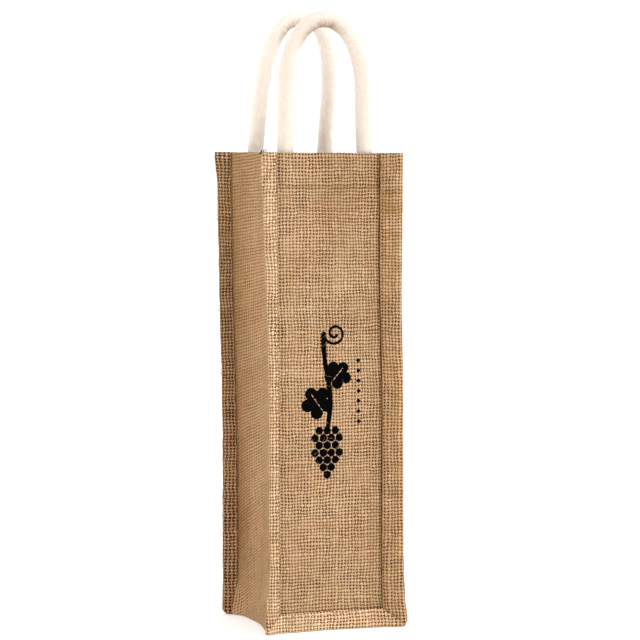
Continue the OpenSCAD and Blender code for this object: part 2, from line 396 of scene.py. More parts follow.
def jute(name, light, mid, dark, hole, widths=(0.24, 0.42)):
    """Coarse plain weave: thick and thin yarns and loose fibres along them, with painted shade on the yarns'
    sides and in the dark holes between.
    """
    material, n, shader = new_material(name, 0.95, specular=0.1)
    height, top, warp, weft = yarn_pattern(n, 0.62, *widths)

    def fibres(side):
        _, number, along, across = side
        twisted = n.math("MULTIPLY_ADD", along, 0.9, n.math("MULTIPLY", across, 9.0))
        stretched = n.math("MULTIPLY", along, 1.3)
        return n.noise(n.vector(twisted, stretched, n.math("MULTIPLY", number, 3.17)), 1.0, 3.0, 0.6)

    fibre = n.pick(top, fibres(weft), fibres(warp))
    yarn = n.pick(top, n.random(weft[1], 8.0), n.random(warp[1], 3.0))
    uv = n.yarns()
    patch = n.noise(uv, 0.55, 2.0)
    share = n.math("MULTIPLY_ADD", fibre, 1.1, n.math("MULTIPLY_ADD", yarn, 0.28, -0.36))
    share = n.math("MULTIPLY_ADD", patch, 0.55, n.math("SUBTRACT", share, 0.22), clamp=True)
    colour = n.mix(share, mid, light)
    # painted shade on the sides of the yarns
    colour = n.mix(n.between(height, 0.25, 0.85), dark, colour)
    depth = n.math("MULTIPLY_ADD", patch, 0.12, height)
    # painted shade in the holes between the yarns
    colour = n.mix(n.between(depth, 0.1, 0.5), hole, colour)
    cloudy = n.noise(uv, 0.12, 3.0)
    colour = n.mix(n.between(cloudy, 0.3, 0.7, 0.0, 0.22), colour, mid)
    tint = n.noise(uv, 0.07, 2.0)
    tint = n.mix(n.between(tint, 0.35, 0.65), (1.02, 0.99, 0.97, 1.0), (0.97, 1.0, 0.99, 1.0))
    colour = n.mix(1.0, colour, tint, "MULTIPLY")
    warmth = n.add("ShaderNodeMix", data_type="RGBA", clamp_factor=False)  # the Tone attribute: painted light and shade, warmer where darker, and random patches
    n.link(n.math("MULTIPLY_ADD", n.tone(), 2.0, -1.0), warmth.inputs[0])
    warmth.inputs[6].default_value = (0.55, 0.43, 0.27, 1.0)
    warmth.inputs[7].default_value = (1.0, 1.0, 1.0, 1.0)
    colour = n.mix(1.0, colour, warmth.outputs[2], "MULTIPLY")
    n.link(colour, shader.inputs["Base Color"])
    n.bump(shader, n.math("MULTIPLY_ADD", fibre, 0.5, height), 0.8, 0.35 * MM)
    return material


def cotton_braid():
    """Close braid of soft off-white cotton, with a faint shadow between its strands."""
    material, n, shader = new_material("Braided_cotton", 0.95, 0.1)
    shader.inputs["Subsurface Weight"].default_value = 0.65
    shader.inputs["Subsurface Radius"].default_value = (1.0, 0.85, 0.7)
    shader.inputs["Subsurface Scale"].default_value = 8 * MM
    height = yarn_pattern(n, 0.72, 0.46, 0.56)[0]
    uv = n.yarns()
    colour = n.mix(n.between(height, 0.2, 0.85), rgb(190, 171, 151), rgb(226, 219, 211))
    colour = n.mix(n.between(n.noise(uv, 0.35, 3.0), 0.35, 0.7, 0.0, 0.35), colour, rgb(214, 197, 180))
    # painted shade, warm brown, where the Tone attribute is low: under each crown's bend and over the front
    # rope
    colour = n.mix(n.tone(), rgb(122, 88, 40), colour)
    n.link(colour, shader.inputs["Base Color"])
    n.bump(shader, n.math("MULTIPLY_ADD", n.noise(uv, 9.0, 3.0, 0.6), 0.4, height), 0.6, 0.2 * MM)
    return material


def twisted_thread(name, light, dark, scale):
    """Two-ply thread or cord: slanting bands in the object's own space."""
    material, n, shader = new_material(name, 0.85, 0.1)
    position = n.add("ShaderNodeTexCoord").outputs["Object"]
    band = n.add("ShaderNodeTexWave", bands_direction="DIAGONAL")
    n.link(position, band.inputs["Vector"])
    band.inputs["Scale"].default_value = scale
    band.inputs["Distortion"].default_value = 1.5
    n.link(n.mix(band.outputs["Fac"], dark, light), shader.inputs["Base Color"])
    n.bump(shader, band.outputs["Fac"], 0.5, 0.1 * MM)
    return material


def printed_ink():
    """Matt black screen ink that lies on the yarns, a little worn on their tops."""
    material, n, shader = new_material("Screen_ink", 0.9, specular=0.03)
    position = n.add("ShaderNodeTexCoord").outputs["Object"]
    worn = n.between(n.noise(position, 900.0, 3.0, 0.6), 0.55, 0.8)
    n.link(n.mix(worn, rgb(3, 3, 3), rgb(16, 13, 11)), shader.inputs["Base Color"])
    return material


# Jute_side and Jute_binding_back are darker copies of the jute that carry painted shade, Jute_binding a
# lighter copy that carries painted light
JUTE = jute("Jute", rgb(219, 191, 157), rgb(173, 139, 103), rgb(121, 82, 46), rgb(54, 29, 12))
JUTE_SIDE = jute(
    "Jute_side", rgb(196, 163, 125), rgb(168, 134, 98), rgb(134, 97, 60), rgb(76, 48, 23), (0.3, 0.45))
JUTE_BINDING = jute(
    "Jute_binding", rgb(238, 210, 175), rgb(190, 155, 118), rgb(128, 86, 50), rgb(48, 25, 10), (0.25, 0.42))
JUTE_BINDING_BACK = jute(
    "Jute_binding_back", rgb(204, 168, 130), rgb(164, 127, 90), rgb(96, 60, 30), rgb(20, 9, 3), (0.2, 0.36))
JUTE_INSIDE = jute(
    "Jute_inside", rgb(200, 165, 127), rgb(168, 133, 97), rgb(120, 84, 52), rgb(50, 30, 15), (0.3, 0.46))
COTTON = cotton_braid()
PADDING = twisted_thread("Padding_cord", rgb(214, 209, 200), rgb(178, 171, 158), 300)
THREAD = twisted_thread("Jute_thread", rgb(190, 156, 116), rgb(132, 98, 64), 700)
COTTON_THREAD = twisted_thread("Cotton_thread", rgb(214, 204, 186), rgb(168, 154, 132), 700)
INK = printed_ink()
FIBRE = twisted_thread("Loose_fibre", rgb(196, 160, 118), rgb(136, 98, 60), 160)
DARK_FIBRE = twisted_thread("Frayed_end", rgb(58, 34, 17), rgb(24, 13, 7), 160)


# ---------- the bag's shape ----------

def hem(v, start):
    """Follows a wall up from height start and over the rim: (distance into the wall, height)."""
    straight = HEIGHT - HEM_R - start
    angle = np.clip((v - straight) / HEM_R, 0, math.pi)
    over = np.maximum(v - straight - math.pi * HEM_R, 0)
    inward = HEM_R * (1 - np.cos(angle))
    up = start + np.minimum(v, straight) + HEM_R * np.sin(angle) - over
    return inward, up


def hem_length(start):
    """Length of a wall's cloth from height start to its end inside the rim."""
    return HEIGHT - HEM_R - start + math.pi * HEM_R + 0.4 * MM


PANEL_SEED = {-1: 11, 1: 21}                 # of the weave and creases, front and back


def doubled(z):
    """Small step where the turned-in facing begins behind the cloth, and the crease of its stitch line."""
    step = 0.35 * MM * smooth(z, FACING_Z - 1.2 * MM, FACING_Z + 1.2 * MM)
    return step - 0.5 * MM * hump(z - STITCH_Z, 1.3 * MM)


def panel_bulge(u, z, sign):
    """How far the front (sign = -1) or back (+1) panel stands out of its flat shape."""
    seed = PANEL_SEED[sign]
    loose = np.cos(np.clip(u / HALF_W, -1, 1) * math.pi / 2)
    belly = 0.9 * MM * loose * np.sin(math.pi * np.clip(z / HEIGHT, 0, 1))
    ripple = 0.45 * MM * waves(u, z, seed, 70 * MM) * (0.3 + 0.7 * loose)
    creases = 0.25 * MM * waves(u * 2.2, z, seed + 5, 28 * MM) * loose
    return belly + ripple + creases + doubled(z)


def at_seam(u, v, flare):
    """Plan view of a front right flange: u outward from the seam, v in front of it. Returns x, y."""
    x = HALF_W + u * np.cos(flare) - v * np.sin(flare)
    y = -IN_Y - u * np.sin(flare) - v * np.cos(flare)
    return x, y


def panel_face(u, z, sign):
    """Distance of a panel's outer face from the middle of the bag, all but flat along its side seams."""
    return HALF_D + panel_bulge(u, z, sign) * smooth(HALF_W - np.abs(u), 0, 6 * MM)


def panel_place(sign):
    """A panel as place(u, v, depth): u runs across it, v up it and over the rim, depth into the cloth."""
    def place(u, v, depth):
        inward, z = hem(v, CLOTH)
        turned = np.maximum(np.abs(u) - HALF_W, 0)
        pulled = hump(HALF_W - np.abs(u), 2.2 * MM) + hump(z - FOOT_H, 2.2 * MM)
        out = panel_face(u, z, sign)
        out = out + turned * math.tan(FLARE) - 0.5 * MM * pulled - inward - depth
        return np.stack([-sign * u, sign * out, z], axis=-1)

    return place


def panel_tone(x, z, sign):
    """Painted light and shade: darker along the side seams, most where the light misses them, and in the
    crease under the rim; under the rim also painted shade right of the middle and a painted highlight left of
    it; and random patches.
    """
    near, soft = hump(HALF_W - np.abs(x), 1.9 * MM), hump(HALF_W - np.abs(x), 11 * MM)
    right = 0.52 * near * (1 - 0.4 * smooth(z, 60 * MM, 20 * MM)) + 0.11 * soft
    left = 0.06 * near + 0.12 * soft * smooth(z, 0.84 * HEIGHT, 0.92 * HEIGHT)
    hollow = 0.2 * hump(x - 7 * MM, 16 * MM) - 0.1 * hump(x + 29 * MM, 8 * MM)
    hollow = hollow * smooth(z, 0.76 * HEIGHT, 0.88 * HEIGHT)
    seams = np.where(-sign * x > 0, right, left)
    patchy = 0.05 * waves(x, z, PANEL_SEED[sign] + 9, 60 * MM)
    return 1 - seams - hollow - 0.14 * hump(z - STITCH_Z, 1.7 * MM) + patchy


def hemmed(place, start):
    """A wall's place whose hidden side stops under the hem's fold."""
    share = (HEIGHT - HEM_R - start - 0.3 * MM) / hem_length(start)
    return lambda u, v, depth: place(u, v * share if depth else v, depth)


def make_panel(name, sign):
    cloth = Cloth()
    place = hemmed(panel_place(sign), CLOTH)
    reach = HALF_W + 1.2 * MM
    grid = woven_layer(cloth, place, (-reach, reach), (0, hem_length(CLOTH)), PANEL_SEED[sign],
                       tone=lambda u, v: panel_tone(-sign * u, v + CLOTH, sign))
    for side in (-1, 1):
        add_flange_layers(cloth, side, sign)
    return cloth.make(name, JUTE), *grid


# ---------- bound flanges ----------

# How each flange (side, sign) differs from the plain one: narrower by so many mm at the rim, and by so
# many more from the facing down, towards the floor and from half height down; the share of that last
# step that is given back at the floor; and turned forward by so many degrees at the rim and at the floor
FLANGES = {
    (-1, -1): (6.2, 0.0, 0.0, 2.8, 1.9, -8, 4),
    (1, -1): (-0.8, 0.0, -0.8, 1.9, 0.5, 0, 4),
    (-1, 1): (4.9, 1.7, -2.4, 0.0, 0.0, 0, 0),
    (1, 1): (0.0, 0.0, 2.0, 0.0, 0.0, 0, 0),
}


def flange_width(z, side, sign):
    """Width of a flange at height z."""
    rim, facing, floor, waist = (value * MM for value in FLANGES[side, sign][:4])
    wobble = 0.35 * MM * waves(z, 0 * z, 40 + 3 * side + sign, 55 * MM)
    narrow = rim + facing * smooth(z, HEIGHT, FACING_Z) + floor * smooth(z, 0.75 * HEIGHT, 0)
    regained = FLANGES[side, sign][4] * smooth(z, 0.15 * HEIGHT, 0)
    narrow = narrow + waist * smooth(z, HEIGHT, 0.5 * HEIGHT) * (1 - regained)
    return FLANGE_W - narrow + wobble


def flange_flare(z, side, sign):
    """Angle by which a flange is turned forward of the panel at height z."""
    at_rim, at_floor = (math.radians(value) for value in FLANGES[side, sign][5:])
    turned = at_rim + (at_floor - at_rim) * smooth(z, 0.4 * HEIGHT, 0)
    return FLARE + turned + math.radians(4) * waves(z, 0 * z, 60 + 5 * side + sign, 150 * MM)


def half_thickness(share):
    """Puffed thickness of a bound flange from its seam, share 0, to its edge, share 1."""
    share = np.clip(share, 0, 1)
    return 2.3 * MM - 0.45 * MM * share + 0.4 * MM * np.sin(math.pi * share)


EDGE_R = half_thickness(1.0)                 # radius of the fold round a flange's edge


def section_length(w):
    """Way round a flange of width w, from the seam in front to the seam behind."""
    return 2 * (w - EDGE_R) + math.pi * EDGE_R


def binding_section(q, w):
    """Round the flange from the seam in front (q = 0) over the edge to the seam behind (q = 1): u, v."""
    flat = w - EDGE_R
    along = q * section_length(w)
    front = np.clip(along, 0, flat)
    turn = np.clip((along - flat) / EDGE_R, 0, math.pi)
    back = np.clip(along - flat - math.pi * EDGE_R, 0, flat)
    u = front - back + EDGE_R * np.sin(turn)
    v = np.where(turn > 0, EDGE_R * np.cos(turn), 0)
    v = np.where(turn <= 0, half_thickness(front / flat), v)
    v = np.where(turn >= math.pi, -half_thickness(1 - back / flat), v)
    return u + SEAM_GAP, v


def section_share(u, total, w):
    """Place round a flange of width w for a strip's u: true lengths in front, the rest fitted in behind."""
    length = section_length(w)
    edge = length / 2
    return np.where(u < edge, u, edge + (u - edge) * edge / np.maximum(total - edge, 1 * MM)) / length


def corner_radius(side, sign):
    """The front left corner is folded sharp."""
    return 1.4 * MM if (side, sign) == (-1, -1) else CORNER_R


def rounded_corner(inside, radius):
    """Height at which a rounded bottom corner starts, at that distance inside its outer edge."""
    reach = np.clip(1 - inside / radius, 0, 1)
    return radius * (1 - np.sqrt(1 - reach ** 2))


def limb_length(side, sign):
    """Width of a side limb's strip, round a flange's edge at half height."""
    return section_length(float(flange_width(np.array(HEIGHT / 2), side, sign)))


def limb_place(side, sign):
    """Side limb of a binding: u runs round the folded edge, v runs up from the mitre."""
    total = limb_length(side, sign)

    def place(u, v, depth):
        w = flange_width(v, side, sign)
        q = section_share(u, total, w)
        du, dv = binding_section(q, w)
        mitre = FOOT_H * (1 - np.clip((du - SEAM_GAP) / (w - SEAM_GAP), 0, 1))
        mitre = np.where(q > 0.5, 0.0, mitre)
        low = np.maximum(mitre, rounded_corner(w - du, corner_radius(side, sign)))
        z = np.maximum(v, low + CUT * v)
        tucked = 0.55 * MM * (1 - smooth(z - low, 0, 1.6 * MM)) * (q < 0.5)
        puff = 0.22 * MM * waves(du, z, 80 + 7 * side + sign, 24 * MM)
        puff = puff + 0.55 * MM * smooth(z, FACING_Z - 1.2 * MM, FACING_Z + 0.8 * MM) * smooth(du, 0, 2 * MM)
        shrink = depth * np.sign(dv) * np.minimum(1, np.abs(dv) / (0.6 * MM))
        edge = depth * smooth(du, w - 3 * MM, w)
        flare = flange_flare(z, side, sign)
        x, y = at_seam(du - edge, dv + (puff - tucked) * np.sign(dv) - shrink, flare)
        return np.stack([side * x, -sign * y, z], axis=-1)

    return place


BAND_HALF = HALF_W + FLANGE_W * math.cos(FLARE)
BAND_HEIGHT = FOOT_H - FOOT_R + FOOT_R * math.pi / 2 + 1.4 * MM  # from its upper edge to under the foot


def band_place(sign):
    """Bottom band of a binding: u runs along the panel, v from its upper edge down and underneath."""
    drop = FOOT_H - FOOT_R

    def place(u, v, depth):
        angle = np.clip((v - drop) / FOOT_R, 0, math.pi / 2)
        under = np.maximum(v - drop - FOOT_R * math.pi / 2, 0)
        z = FOOT_R + np.maximum(drop - v, 0) - FOOT_R * np.sin(angle)
        share = np.clip(v / drop, 0, 1)
        puff = 1.15 * MM + 0.6 * MM * smooth(share, 0, 0.25) + 0.3 * MM * np.sin(math.pi * share)
        puff = puff + 0.18 * MM * waves(u, v, 90 + sign, 22 * MM)
        at_left = -sign * u < 0
        width = np.where(at_left, flange_width(0 * u, -1, sign), flange_width(0 * u, 1, sign))
        inside = rounded_corner(z, np.where(at_left, corner_radius(-1, sign), corner_radius(1, sign)))
        mitre = (width + 0.2 * MM) * np.clip((FOOT_H - z) / FOOT_H, 0, 1)
        reach = np.minimum(mitre, width - 0.6 * MM - inside)
        reach = HALF_W + np.maximum(reach, 0) * math.cos(FLARE)
        along = np.sign(u) * np.minimum(np.abs(u), reach - CUT * (BAND_HALF - np.abs(u)))
        turned = np.maximum(np.abs(along) - HALF_W, 0)
        tucked = 0.6 * MM * (1 - smooth(reach - np.abs(along), 0, 1.6 * MM))
        out = HALF_D + puff - tucked + turned * math.tan(FLARE) - under - FOOT_R * (1 - np.cos(angle))
        lift = depth * smooth(angle, 0.4, 1.5)
        inward = depth * (1 - smooth(angle, 0.9, 1.57))
        return np.stack([-sign * along, sign * (out - inward), z + lift], axis=-1)

    return place


def add_flange_layers(cloth, side, sign):
    """The two folded-in layers of a flange, seen only at its ends."""
    z = steps(2.5 * MM, HEIGHT - 0.5 * MM, 12 * MM)
    for low, high in ((0.05 * MM, 0.95 * MM), (-0.95 * MM, -0.05 * MM)):
        rows = []
        for corner_u, corner_v in ((0, low), (1, low), (1, high), (0, high)):
            w = flange_width(z, side, sign) - 2.6 * MM
            x, y = at_seam(0.3 * MM + corner_u * w, corner_v, flange_flare(z, side, sign))
            rows.append(np.stack([side * x, -sign * y, z], axis=-1))
        points = np.stack(rows)
        index = cloth.add_grid(points, *np.meshgrid(np.zeros(4), z / PITCH, indexing="ij"),
                               flip=side * sign < 0)
        closing = np.stack([index[-1, :-1], index[0, :-1], index[0, 1:], index[-1, 1:]], axis=-1)
        caps = np.stack([index[:, 0][::-1], index[:, -1]])
        if side * sign < 0:
            closing, caps = closing[:, ::-1], caps[:, ::-1]
        cloth.polygons.append(closing)
        cloth.polygons.append(caps)


def limb_tone(side, sign):
    """Tone of a binding's side limb, painted light and shade: the right ones darker, turned from the light,
    and lighter towards their edge; the left back one shaded by the gusset, lighter near the rim; the left
    front one lighter near its seam; all darker in the fold under the rim; with random patches.
    """
    total = limb_length(side, sign)

    def limb(u, v):
        from_seam = (total - u if side * sign > 0 else u) / flange_width(v, side, sign)
        fold = hump(v - FACING_Z + 1.6 * MM, 1.5 * MM)
        patchy = 0.07 * waves(u, v, 180 + 3 * side + sign, 14 * MM)
        if side > 0:
            under = hump(v - FACING_Z + 10 * MM, 8 * MM)
            tone = 0.71 + 0.12 * smooth(from_seam, 0.6, 0.95) - 0.12 * fold - 0.1 * under + patchy
            return np.maximum(tone, 0.52)
        if sign > 0:
            return 0.88 + 0.16 * smooth(v, 0.8 * HEIGHT, 0.95 * HEIGHT) - 0.1 * fold + patchy
        return 0.96 + 0.14 * smooth(from_seam, 0.9, 0.1) - 0.1 * fold + patchy

    return limb


def band_tone(u, v):
    """Tone of a bottom band, painted light and shade: lighter all over, facing up to the light, with painted
    shade along its mitres and in a fold near one end, and random patches.
    """
    reach = HALF_W + FLANGE_W * math.cos(FLARE) * (BAND_HEIGHT - v) / FOOT_H
    mitre = np.where(u > 0, 0.3, 0.12) * hump(reach - np.abs(u), 1.8 * MM)
    pinched = 0.24 * hump(u - 37 * MM, 8 * MM)
    return 1.22 - mitre - pinched + 0.05 * waves(u, v, 190, 25 * MM)


def outward_limb(side, sign):
    """A limb's place, with u turned round where its face would look inward, and its strip's width."""
    place, total = limb_place(side, sign), limb_length(side, sign)
    if side * sign < 0:
        return place, total
    return (lambda u, v, depth: place(total - u, v, depth)), total


def outward_band(sign):
    """A bottom band's place, with v turned round so that its face looks outward."""
    place = band_place(sign)
    return lambda u, v, depth: place(u, BAND_HEIGHT - v, depth)


def make_binding(name, sign, seed, material):
    cloth = Cloth()
    for side in (-1, 1):
        place, total = outward_limb(side, sign)
        woven_layer(cloth, place, (0, total), (0, HEIGHT), seed + side, STRIP, tone=limb_tone(side, sign))
    woven_layer(cloth, outward_band(sign), (-BAND_HALF, BAND_HALF), (0, BAND_HEIGHT), seed + 5, STRIP,
                tone=band_tone)
    return cloth.make(name, material)


# ---------- gussets, base and facings ----------

def gusset_bow(y, z, side):
    """How far the limp gusset hangs inward between its seams."""
    middle = np.cos(np.clip(y / IN_Y, -1, 1) * math.pi / 2) ** 2
    height = 1.0 * MM + 1.6 * MM * smooth(z, 0, 0.3 * HEIGHT)
    height = height + 3.2 * MM * np.sin(math.pi * np.clip(z / HEIGHT, 0, 1)) ** 0.7
    ripple = 0.8 * MM * waves(y * 1.6, z, 120 + side, 90 * MM)
    crease = 0.3 * MM * waves(y, z * 1.5, 130 + side, 30 * MM)
    return (height + ripple + crease) * middle


def gusset_plan():
    """Plan outline of a right gusset's outer face: out of the front flange, along the wall, into the back."""
    x1, y1 = at_seam(2.4 * MM, -0.6 * MM, FLARE)
    x2, y2 = at_seam(0.6 * MM, -0.6 * MM, FLARE)
    half = [(x1, y1), (x2, y2), (HALF_W + 0.1 * MM, -IN_Y + 1.5 * MM), (HALF_W, -IN_Y + 4 * MM)]
    points = np.array(half + [(x, -y) for x, y in half[::-1]])
    for _ in range(3):  # Chaikin's corner cutting rounds the turns at the seams
        a, b = points[:-1], points[1:]
        cut = np.stack([0.75 * a + 0.25 * b, 0.25 * a + 0.75 * b], axis=1).reshape(-1, 2)
        points = np.concatenate([points[:1], cut, points[-1:]])
    along = np.concatenate([[0], np.cumsum(np.linalg.norm(np.diff(points, axis=0), axis=1))])
    return along, points


GUSSET_START = 0.4 * MM                      # height of a gusset's lower edge


def foot_pull(y, z):
    """How far the left gusset's foot stands out along the front and the back flange."""
    front = 10 * MM * np.clip((0.12 * IN_Y - y) / (1.1 * IN_Y), 0, 1) ** 1.25 * smooth(z, 80 * MM, 0)
    front = front * (1 - 0.25 * smooth(-y, 0.94 * IN_Y, 0.99 * IN_Y))
    back = 6 * MM * smooth(y, 0.7 * IN_Y, IN_Y) * smooth(z, 34 * MM, 0)
    return front, back


def gusset_place(side):
    """Outer face of a gusset as place(u, v, depth), and its length from flange to flange."""
    along, plan = gusset_plan()
    total = along[-1]

    def place(u, v, depth):
        if side < 0:
            u = total - u
        inward, z = hem(v, GUSSET_START)
        x, y = np.interp(u, along, plan[:, 0]), np.interp(u, along, plan[:, 1])
        out = x - gusset_bow(y, z, side) - inward - depth + doubled(z)
        if side < 0:  # pulled out along both flanges to the folded corners of the foot
            for sign, pull in zip((-1, 1), foot_pull(y, z)):
                flare = flange_flare(z, side, sign)
                out = out + pull * np.cos(flare)
                y = y + sign * pull * np.sin(flare) * smooth(sign * y, 0.5 * IN_Y, IN_Y)
        return np.stack([side * out, y, z], axis=-1)

    return place, total


def gusset_tone(y, z):
    """Painted shade: darker towards the back seam, in the hollow above the foot and just under the rim; and
    random patches.
    """
    shaded = 0.33 * smooth(y, 6 * MM, IN_Y) * smooth(z, 0, 60 * MM)
    shaded = shaded * (0.4 + 0.6 * smooth(z, HEIGHT, 0.75 * HEIGHT))
    hollow = 0.09 * hump(z - 60 * MM, 35 * MM) + 0.04 * smooth(z, 0.8 * HEIGHT, 0.9 * HEIGHT)
    return 1 - shaded - hollow + 0.04 * waves(y, z, 140, 30 * MM)


def gusset_relief(y, z):
    """Its weave stands out most along the back seam and where it is doubled under the rim."""
    strong = 0.28 * smooth(y, 12 * MM, IN_Y) + 0.18 * smooth(z, FACING_Z - 6 * MM, FACING_Z)
    return (0.26 + strong) * MM


def make_gusset(name, side, seed):
    cloth = Cloth()
    place, total = gusset_place(side)
    woven_layer(cloth, hemmed(place, GUSSET_START), (0, total), (0, hem_length(GUSSET_START)), seed,
                slant=-side * SLANT,
                relief=lambda u, v: gusset_relief(side * (u - total / 2), v),
                tone=lambda u, v: gusset_tone(side * (u - total / 2), v))
    return cloth.make(name, JUTE_SIDE)


FACING_LENGTH = HEIGHT - HEM_R - 0.5 * MM - FACING_Z


def make_panel_facing(name, sign, seed):
    """Turned-in layer inside the front or back rim; its visible side faces into the bag."""
    cloth = Cloth()
    half = HALF_W - CLOTH - 1.6 * MM

    def place(u, v, depth):
        z = FACING_Z + v
        out = panel_face(u, z, sign) - 2 * CLOTH - 0.05 * MM + depth
        return np.stack([sign * u, sign * out, z], axis=-1)

    woven_layer(cloth, place, (-half, half), (0, FACING_LENGTH), seed, STRIP)
    return cloth.make(name, JUTE_INSIDE)


def make_side_facing(name, side, seed):
    """Turned-in layer inside a gusset's rim."""
    cloth = Cloth()
    half = IN_Y - CLOTH - 0.4 * MM

    def place(u, v, depth):
        z = FACING_Z + v
        out = HALF_W - gusset_bow(u, z, side) + doubled(z) - 2 * CLOTH - 0.05 * MM + depth
        return np.stack([side * out, -side * u, z], axis=-1)

    woven_layer(cloth, place, (-half, half), (0, FACING_LENGTH), seed, STRIP)
    return cloth.make(name, JUTE_INSIDE)


def make_base():
    """Cloth base: front and back edges turned up inside the bag, left edge out to the gusset's foot."""
    cloth = Cloth()
    half = IN_Y - 0.1 * MM
    bend = 2.0 * MM
    flat = half - bend
    length = 2 * flat + 2 * (FOOT_H - bend) + math.pi * bend

    def place(u, v, depth):
        side_in = 1.2 * MM * np.cos(np.clip((v - length / 2) / half, -1, 1) * math.pi / 2) ** 2
        x = u * (HALF_W - CLOTH - 0.7 * MM - side_in) / HALF_W
        middle = np.abs(v - length / 2)
        angle = np.clip((middle - flat) / bend, 0, math.pi / 2)
        rise = np.maximum(middle - flat - bend * math.pi / 2, 0)
        reach = np.minimum(middle, flat) + (bend - depth) * np.sin(angle)
        z = bend - (bend - depth) * np.cos(angle) + rise
        sag = 0.45 * MM * (1 + waves(u, v, 77, 40 * MM)) * smooth(flat - middle, 0, 8 * MM)
        y = -reach * np.sign(v - length / 2)
        front, back = foot_pull(y, 0 * z)
        x = x - (front + back) * smooth(-u, 0.2 * HALF_W, HALF_W)
        return np.stack([x, y, z + 0.35 * MM + np.maximum(sag, 0)], axis=-1)

    woven_layer(cloth, place, (-HALF_W, HALF_W), (0, length), 300, fine=STEP * 1.6,
                relief=lambda u, v: 0.5 * MM)
    return cloth.make("Base_cloth", JUTE_INSIDE)


FRONT, FRONT_GRID, FRONT_U, FRONT_V = make_panel("Front_panel_cloth", -1)
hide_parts("front_panel")
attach(FRONT, "front_side")
BACK = make_panel("Back_panel_cloth", 1)[0]
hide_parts("back_panel")
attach(BACK, "back_side")
for number, (where, sign) in enumerate((("front", -1), ("back", 1))):
    binding = make_binding(where.capitalize() + "_binding_cloth", sign, 31 + 10 * number,
                           JUTE_BINDING if sign < 0 else JUTE_BINDING_BACK)
    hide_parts(where + "_binding")
    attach(binding, where + "_side")
    facing = make_panel_facing(where.capitalize() + "_facing_cloth", sign, 51 + 10 * number)
    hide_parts(where + "_facing")
    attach(facing, where + "_side")


def folds(piece):
    """Limp cloth between the two sides: it goes with the back panel, on a mesh of its own."""
    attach(piece, "back_side")
    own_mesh(piece)


for where, side in (("left", -1), ("right", 1)):
    gusset = make_gusset(where.capitalize() + "_gusset_cloth", side, 71 + side)
    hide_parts(where + "_gusset")
    folds(gusset)
    facing = make_side_facing(where.capitalize() + "_facing_cloth", side, 91 + side)
    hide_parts(where + "_facing")
    folds(facing)
BASE = make_base()
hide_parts("base_panel")
folds(BASE)


# ---------- rope handles ----------

# How each rope was left standing: lean in degrees, drift to the right per metre, then in mm the
# sideways shift, half the gap at the rim, half the gap where the arch starts, the height of that
# start over the rim and the arch's own height, and last the power that makes the arch fuller or slimmer
ROPES = {
    "front": (2.0, -0.02, -0.5, 31.2, 30.0, 47.8, 49.0, 0.96),
    "back": (11.0, 0.022, 0.5, 28.3, 27.9, 36.4, 64.6, 0.71),
}
PROUD = 0.15 * MM                            # swelling of the rope over its nominal radius
WALL_Y = ROPE_Y + ROPE_R - 0.05 * MM         # face of the facing that the rope ends are sewn to


class RopeLine:
    """Centre line of a handle from one sewn end over the loop to the other."""

    def __init__(self, where, lowest, size):
        lean, drift, shift, half_rim, half_arch, start, rise, full = ROPES[where]
        self.sign = -1 if where == "front" else 1
        start, rise = HEIGHT + start * MM, rise * MM
        leg_z = np.linspace(lowest, start, 80)[:-1]
        leg_x = np.interp(leg_z, [HEIGHT, start], [half_rim * MM, half_arch * MM])
        angle = np.linspace(0, math.pi, 240)
        arch_x = half_arch * MM * np.sign(np.cos(angle)) * np.abs(np.cos(angle)) ** full
        x = np.concatenate([leg_x, arch_x, -leg_x[::-1]])
        z = np.concatenate([leg_z, start + rise * np.sin(angle), leg_z[::-1]])
        along = np.concatenate([[0], np.cumsum(np.hypot(np.diff(x), np.diff(z)))])
        self.rows = steps(0, along[-1], size)
        x, self.z = np.interp(self.rows, along, x), np.interp(self.rows, along, z)
        soft = np.maximum(self.z - HEIGHT - 2 * MM, 0) ** 2
        soft = soft / np.maximum(self.z - HEIGHT + 6 * MM, 1e-6)
        self.x = x + shift * MM + drift * soft
        self.y = self.sign * ROPE_Y - math.tan(math.radians(lean)) * soft
        tangent = np.stack([np.gradient(self.x), np.gradient(self.y), np.gradient(self.z)], axis=1)
        self.tangent = tangent / np.linalg.norm(tangent, axis=1, keepdims=True)
        self.flat = 1 - smooth(self.z, TAB_Z + 7 * MM, HEIGHT - 12 * MM)
        self.thick = ROPE_R * (1 - 0.62 * self.flat)
        against = self.sign * (WALL_Y - self.thick) + self.y - self.sign * ROPE_Y
        self.y = np.where(self.flat > 0, against, self.y)

    def tube(self, ring, wide, thick):
        """Points at angles ring round every station, with the radii given for each point."""
        side = np.cross([0.0, 1.0, 0.0], self.tangent)
        side /= np.linalg.norm(side, axis=1, keepdims=True)
        over = np.cross(self.tangent, side)
        centre = np.stack([self.x, self.y, self.z], axis=1)
        return centre + side * (wide * np.cos(ring))[..., None] + over * (thick * np.sin(ring))[..., None]


